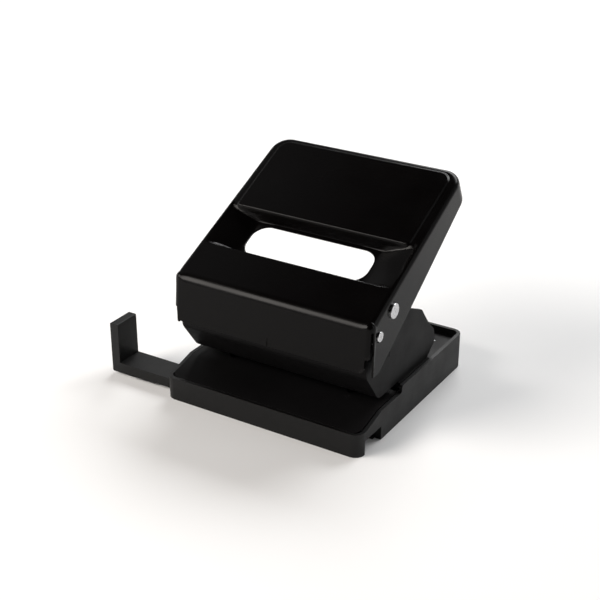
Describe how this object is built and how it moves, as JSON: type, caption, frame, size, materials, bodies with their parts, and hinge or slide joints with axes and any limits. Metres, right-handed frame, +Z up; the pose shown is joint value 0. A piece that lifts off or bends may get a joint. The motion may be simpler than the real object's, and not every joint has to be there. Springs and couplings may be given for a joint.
{
  "type": "hole punch",
  "caption": "Desk paper punch for two filing holes, with a sloping pressed-steel lever, a steel punch frame, a plastic base and a sliding paper guide.",
  "frame": {"origin": "centre of the base's footprint, on the surface it stands on", "axes": "+X to the operator's right along the punch holes, +Y to the back under the raised end of the lever, +Z up"},
  "size_m": [0.1772, 0.1296, 0.1271],
  "materials": {
    "shell_plastic": "fine-textured matte black",
    "cover_plastic": "fine-textured matte black",
    "guide_plastic": "satin-matte black",
    "deck_steel": "satin black lacquer",
    "frame_steel": "satin black lacquer",
    "lever_steel": "gloss black stove enamel",
    "axle_steel": "turned bare steel",
    "pin_steel": "ground tool steel",
    "spring_steel": "oiled spring steel",
    "rivet_steel": "zinc-plated steel",
    "screw_steel": "zinc-plated steel"
  },
  "bodies": {
    "base": {"base_shell": "shell_plastic", "base_plate": "deck_steel", "punch_frame": "frame_steel", "guide_bridge": "frame_steel", "paper_stop": "frame_steel", "pivot_axle": "axle_steel", "pivot_washer_left": "rivet_steel", "pivot_washer_right": "rivet_steel", "guide_detent_spring": "spring_steel", "base_screw_1": "screw_steel", "base_screw_2": "screw_steel", "base_screw_3": "screw_steel", "base_screw_4": "screw_steel", "frame_rivet_1": "rivet_steel", "frame_rivet_2": "rivet_steel", "frame_rivet_3": "rivet_steel", "frame_rivet_4": "rivet_steel", "stop_rivet_left": "rivet_steel", "stop_rivet_right": "rivet_steel"},
    "lever": {"lever": "lever_steel", "drive_axle": "axle_steel"},
    "pin_left": {"punch_pin_left": "pin_steel", "pin_clip_left": "spring_steel", "pin_spring_left": "spring_steel"},
    "pin_right": {"punch_pin_right": "pin_steel", "pin_clip_right": "spring_steel", "pin_spring_right": "spring_steel"},
    "paper_guide": {"paper_guide": "guide_plastic"},
    "chip_cover": {"chip_cover": "cover_plastic"}
  },
  "joints": [
    {"name": "lever_hinge", "type": "hinge", "parent": "base", "child": "lever", "pos_m": [0, -0.04485, 0.0669], "axis": [-1, 0, 0], "range_deg": [0, 26], "stiffness_Nm_per_rad": 1, "springref_deg": -20.05},
    {"name": "pin_left_slide", "type": "slide", "parent": "base", "child": "pin_left", "axis": [0, 0, -1], "range_m": [0, 0.0078], "deforming": ["pin_spring_left"]},
    {"name": "pin_right_slide", "type": "slide", "parent": "base", "child": "pin_right", "axis": [0, 0, -1], "range_m": [0, 0.0078], "deforming": ["pin_spring_right"]},
    {"name": "guide_slide", "type": "slide", "parent": "base", "child": "paper_guide", "axis": [-1, 0, 0], "range_m": [-0.0387, 0.0435]},
    {"name": "cover_hinge", "type": "hinge", "parent": "base", "child": "chip_cover", "pos_m": [0, 0.05855, 0.003], "axis": [1, 0, 0], "range_deg": [0, 75]}
  ],
  "couplings": [
    {"joint": "pin_left_slide", "follows": "lever_hinge", "m_per_rad": 0.01712},
    {"joint": "pin_right_slide", "follows": "lever_hinge", "m_per_rad": 0.01712}
  ]
}
